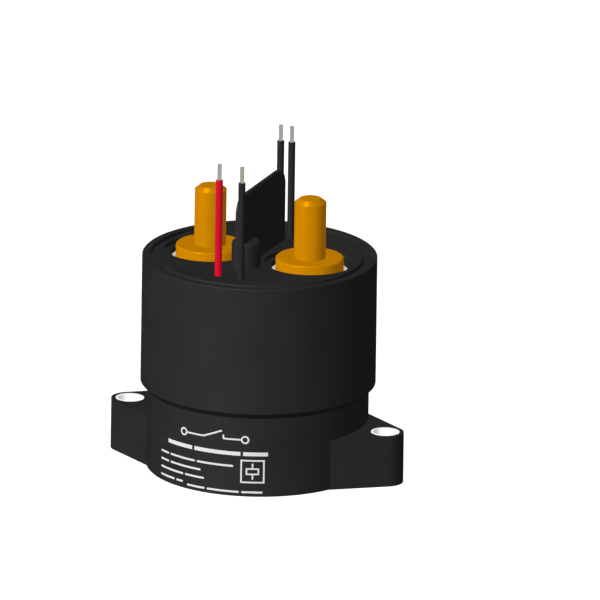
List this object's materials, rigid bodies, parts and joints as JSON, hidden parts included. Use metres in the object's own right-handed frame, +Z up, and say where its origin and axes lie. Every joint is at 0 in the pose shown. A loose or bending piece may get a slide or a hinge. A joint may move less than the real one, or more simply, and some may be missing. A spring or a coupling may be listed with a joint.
{
  "type": "high voltage dc contactor",
  "caption": "Sealed round-bodied contactor that switches high voltage direct current, with stud terminals either side of a barrier, stripped leads on top and mounting ears on its base.",
  "frame": {"origin": "centre of the flat mounting face under the base, on the body's axis", "axes": "+Z up along the body's axis towards the studs, +X through both studs and both mounting ears, -Y towards the coil leads"},
  "size_m": [0.0784, 0.059, 0.0841],
  "materials": {
    "housing_plastic": "moulded black plastic, satin",
    "cover_plastic": "moulded black plastic, satin",
    "bush_metal": "bright plated",
    "terminal_copper": "turned copper alloy, orange gold",
    "contact_copper": "bare copper",
    "ceramic": "white alumina",
    "sealing_metal": "bright alloy sheet",
    "soft_iron": "zinc plated iron",
    "shaft_steel": "ground steel",
    "spring_steel": "spring wire",
    "damper_rubber": "soft black rubber",
    "bobbin_plastic": "natural moulded plastic",
    "winding_copper": "enamelled copper wire",
    "magnet_metal": "plated sintered magnet",
    "board_laminate": "green solder mask",
    "component_plastic": "black moulding compound",
    "capacitor_ceramic": "tan ceramic",
    "reed_glass": "clear glass",
    "lead_red": "red insulation",
    "lead_black": "black insulation",
    "tinned_copper": "tinned copper"
  },
  "bodies": {
    "housing": {"upper_housing": "housing_plastic", "top_cover": "cover_plastic", "base_housing": "housing_plastic", "bush_left": "bush_metal", "bush_right": "bush_metal", "terminal_left": "terminal_copper", "terminal_right": "terminal_copper", "ceramic_chamber": "ceramic", "weld_ring": "sealing_metal", "arc_plate": "ceramic", "exhaust_tube": "contact_copper", "return_spring": "spring_steel", "fixed_core": "soft_iron", "core_tube": "sealing_metal", "damper_pad": "damper_rubber", "yoke_cup": "soft_iron", "yoke_plate": "soft_iron", "coil_bobbin": "bobbin_plastic", "coil_winding": "winding_copper", "coil_pin_left": "tinned_copper", "coil_pin_right": "tinned_copper", "magnet_front": "magnet_metal", "magnet_back": "magnet_metal", "flux_plate_front": "soft_iron", "flux_plate_back": "soft_iron", "control_board": "board_laminate", "drive_transistor": "component_plastic", "drive_diode": "component_plastic", "smoothing_capacitor": "capacitor_ceramic", "aux_board": "board_laminate", "reed_switch": "reed_glass", "red_lead": "lead_red", "red_lead_core": "tinned_copper", "black_lead": "lead_black", "black_lead_core": "tinned_copper", "aux_lead_left": "lead_black", "aux_lead_left_core": "tinned_copper", "aux_lead_right": "lead_black", "aux_lead_right_core": "tinned_copper"},
    "armature": {"armature": "soft_iron", "shaft": "shaft_steel", "retaining_clip": "shaft_steel", "contact_spring": "spring_steel"},
    "contact_bridge": {"movable_contact": "contact_copper"}
  },
  "joints": [
    {"name": "armature_travel", "type": "slide", "parent": "housing", "child": "armature", "axis": [0, 0, 1], "range_m": [0, 0.0024], "stiffness_N_per_m": 800, "springref_m": -0.002, "deforming": ["return_spring"]},
    {"name": "contact_overtravel", "type": "slide", "parent": "armature", "child": "contact_bridge", "axis": [0, 0, -1], "range_m": [0, 0.0006], "deforming": ["contact_spring"]}
  ],
  "couplings": [
    {"joint": "contact_overtravel", "follows": "armature_travel", "ratio": 0.25}
  ]
}
